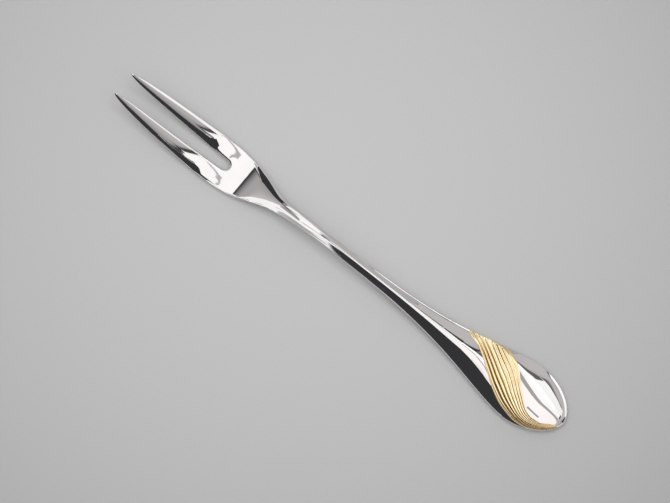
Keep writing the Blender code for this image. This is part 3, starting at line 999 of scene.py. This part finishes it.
def hang_card(name, finish, height, x_low, x_high, y_low, y_high, slant=0.0, lean=0.0):
    """A card over the fork that only reflections show; slant and lean push its edges askew."""
    mesh = bmesh.new()
    bmesh.ops.create_grid(mesh, x_segments=1, y_segments=1, size=GRID_HALF)
    bmesh.ops.scale(mesh, verts=mesh.verts, vec=(x_high - x_low, y_high - y_low, 1.0))
    middle = ((x_low + x_high) / 2, (y_low + y_high) / 2, height)
    bmesh.ops.translate(mesh, verts=mesh.verts, vec=middle)
    for vertex in mesh.verts:
        vertex.co.y += lean * (vertex.co.x - middle[0])
        vertex.co.x -= slant * vertex.co.y
    data = bpy.data.meshes.new(name)
    mesh.to_mesh(data)
    mesh.free()
    data.materials.append(finish)
    made = bpy.data.objects.new(name, data)
    bpy.context.scene.collection.objects.link(made)
    made.visible_camera = False
    made.visible_diffuse = False
    made.visible_shadow = False
    made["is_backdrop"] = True


def hang_cards(cards, finish):
    for name, sizes in cards.items():
        hang_card(name, finish, *sizes)
    print("%s: %s" % (finish.name, ", ".join(cards)))


def glowing(name, colour):
    """A matt material that shines with a colour of its own, and its shader tools."""
    material, shader, ink = new_material(name)
    shader.inputs["Base Color"].default_value = UNLIT
    shader.inputs["Specular IOR Level"].default_value = 0.0
    shader.inputs["Emission Strength"].default_value = 1.0
    shader.inputs["Emission Color"].default_value = colour
    return material, shader, ink


hang_cards(BLACK_FLAGS, glowing("black_flag", BLACK_GLOW)[0])
hang_cards(DIM_FLAGS, glowing("dim_flag", DIM_GLOW)[0])

# %% [markdown]
# ## White and grey cards
# White cards put the bright lines back where the boxes don't reach: along the neck and the shoulder, on the
# far edges of the tines, along the foot of the handle's flank and around its end. A grey strip and its
# slanted tail draw the S-shaped band beside the slot. Two dull cards give a crescent on the handle's end and
# the grey tail of the neck's wedge. Real cards would be lit; these shine by themselves, which is easier to
# set and sheds no light on the table.

# %% White and grey cards
WHITE_GLOW = (1.26, 1.26, 1.26, 1.0)
GREY_GLOW = (0.58, 0.565, 0.565, 1.0)
DULL_GLOW = (0.45, 0.44, 0.44, 1.0)
WHITE_CARDS = {
    "neck_card": (0.08, 0.050, 0.0735, 0.0125, 0.10),
    "neck_card_low": (0.08, 0.050, 0.105, 0.10, 0.40),
    "flank_card": (0.08, 0.018, 0.056, 0.085, 0.20),
    "flank_strip": (0.0125, -0.0570, 0.0080, 0.0009, 0.00725, 0.0, 0.098),
    "shoulder_card": (0.03, 0.0150, 0.0418, -0.052, -0.0165),
    "tine_card": (0.03, 0.067, 0.1035, -0.050, -0.016),
    "end_card": (0.499, -0.45, 0.022, -0.53, -0.345, -0.30),
    "end_card_far": (0.498, 0.50, 1.105, -0.70, -0.52, -2.33),
    "tip_card": (0.004, -0.1046, -0.1030, -0.0062, -0.0028),
}
GREY_STRIPS = {
    "grey_strip": (0.595, 0.1374, 0.1409, -0.30, -0.117),
    "grey_tail": (0.5949, 0.1578, 0.1611, -0.120, -0.083, -0.17),
}
DULL_CARDS = {
    "crescent": (0.49, -0.122, -0.040, 0.003, 0.017, 0.0, -0.28),
    "tail_card": (0.0122, 0.0215, 0.0320, -0.0018, 0.0045, 0.0, -0.46),
}
hang_cards(WHITE_CARDS, glowing("white_card", WHITE_GLOW)[0])
hang_cards(GREY_STRIPS, glowing("grey_strip", GREY_GLOW)[0])
hang_cards(DULL_CARDS, glowing("dull_card", DULL_GLOW)[0])

# %% [markdown]
# ## Graded cards
# The faces of the tines and the flat of the neck are neither white nor black: they fade from one grey to
# another. Photographers get that with a card that is lit from one side. Here the card shines by itself, and
# its colour changes with the place on it. Two cards share one finish over the tines, each with its own dark
# edge, and a low one lies over the neck.

# %% Graded cards
CARD_SLANT = 0.14
TINE_CARDS = {
    "graded_card": (0.595, 0.030, 0.1018, -0.50, 0.40, CARD_SLANT),
    "inner_card": (0.594, 0.030, 0.1185, -0.105, 0.45),
}
TINE_GREY_FAR = WALL
TINE_GREY_NEAR = (0.38, 0.37, 0.37, 1.0)
TINE_FADE = (-0.26, 0.03)
OUTER_EDGE = (0.0960, 0.0995)
INNER_EDGE = (0.1127, 0.1162)
INNER_START = (-0.106, -0.104)
NECK_CARDS = {"neck_sky": (0.0121, 0.0305, 0.0476, -0.0100, 0.0026, 0.0, 0.29)}
NECK_GREY_FAR = (0.37, 0.36, 0.36, 1.0)
NECK_GREY_NEAR = (0.76, 0.745, 0.745, 1.0)
NECK_FADE = (-0.0085, 0.0045)
NECK_EDGE = (0.0425, 0.0478)
graded, graded_shader, ink = glowing("graded_card", DARK)
card_x, card_y = ink.split(ink.object_place(), "XY")
tone = card_y.step(*TINE_FADE).blend(TINE_GREY_FAR, TINE_GREY_NEAR)
edge = (card_x + CARD_SLANT * card_y).step(*OUTER_EDGE)
seam = edge + card_y.step(*INNER_START) * (card_x.step(*INNER_EDGE) - edge)
ink.feed(graded_shader.inputs["Emission Color"], seam.blend(tone, DARK))
hang_cards(TINE_CARDS, graded)
sky, sky_shader, ink = glowing("neck_sky", DARK)
card_x, card_y = ink.split(ink.object_place(), "XY")
tone = card_y.step(*NECK_FADE).blend(NECK_GREY_FAR, NECK_GREY_NEAR)
ink.feed(sky_shader.inputs["Emission Color"], card_x.step(*NECK_EDGE).blend(tone, CEILING))
hang_cards(NECK_CARDS, sky)

# %% [markdown]
# ## The camera
# The photograph looks down on the fork from above its near side, through a long lens. The camera circles the
# middle of the fork at that angle, and slides a little so that the fork lies where it does in the picture.

# %% Camera
IMAGE_WIDTH, IMAGE_HEIGHT = 670, 503
CAMERA_DISTANCE = 1.1
CAMERA_AZIMUTH = math.radians(128.357)
CAMERA_ELEVATION = math.radians(74.5)
PIXELS_PER_METRE = 2667.88
FORK_MIDDLE_PIXEL = (340.45, 253.88)
SENSOR_WIDTH = 36.0
camera_data = bpy.data.cameras.new("camera")
camera_data.sensor_width = SENSOR_WIDTH
camera_data.lens = PIXELS_PER_METRE * CAMERA_DISTANCE * SENSOR_WIDTH / IMAGE_WIDTH
camera = bpy.data.objects.new("camera", camera_data)
bpy.context.scene.collection.objects.link(camera)
level = math.cos(CAMERA_ELEVATION)
sideways = (level * math.cos(CAMERA_AZIMUTH), level * math.sin(CAMERA_AZIMUTH))
towards = Vector((*sideways, math.sin(CAMERA_ELEVATION)))
turned = towards.to_track_quat("Z", "Y")
slide = Vector((IMAGE_WIDTH / 2 - FORK_MIDDLE_PIXEL[0], FORK_MIDDLE_PIXEL[1] - IMAGE_HEIGHT / 2, 0.0))
camera.location = towards * CAMERA_DISTANCE + turned @ (slide / PIXELS_PER_METRE)
camera.rotation_euler = turned.to_euler()
bpy.context.scene.camera = camera
bpy.context.scene.view_settings.view_transform = "Standard"
print("camera lens: %.1f mm" % camera_data.lens)

# %% [markdown]
# ## The size of the skin
# The skin is meant to stay within the solids, so the box of the solids and the box of the skin are gathered
# side by side, and the size of the skin is printed.

# %% Finish
visual_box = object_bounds()
sizes = {"cad": [list(corner) for corner in cad_box], "visual": [list(corner) for corner in visual_box]}
print("skin: %.2f x %.2f x %.2f mm" % tuple((visual_box[1] - visual_box[0]) / MM))
